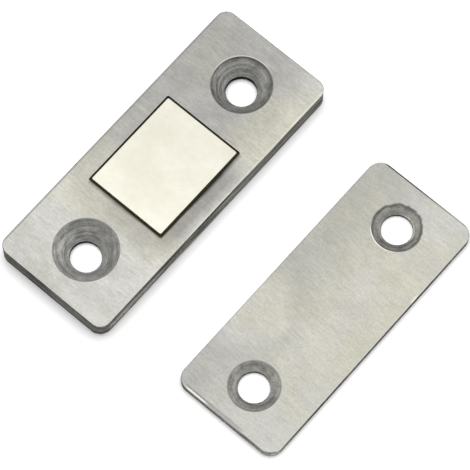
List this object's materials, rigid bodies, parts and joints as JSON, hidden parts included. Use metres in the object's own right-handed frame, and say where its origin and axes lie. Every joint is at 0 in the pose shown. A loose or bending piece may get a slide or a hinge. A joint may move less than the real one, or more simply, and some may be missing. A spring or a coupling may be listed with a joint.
{
  "type": "magnetic catch",
  "caption": "Magnetic door catch: a countersunk steel plate with a block magnet glued into its window, and a thin countersunk steel strike plate for the magnet to pull on.",
  "frame": {"origin": "midway between the magnet plate's screw holes, on the plane of its back", "axes": "+X along the magnet plate's length, +Y across it and away from the strike plate, +Z out of both plates' faces"},
  "size_m": [0.0426, 0.0427, 0.0033],
  "materials": {
    "plate_steel": "ground across its width, with turned countersinks and darker sheared sides",
    "magnet_nickel": "satin nickel plating",
    "cured_adhesive": "dark cured resin",
    "strike_steel": "brushed across its width, with rolled edges"
  },
  "bodies": {
    "root": {"magnet_plate": "plate_steel", "magnet": "magnet_nickel", "adhesive": "cured_adhesive", "strike_plate": "strike_steel"}
  },
  "joints": []
}
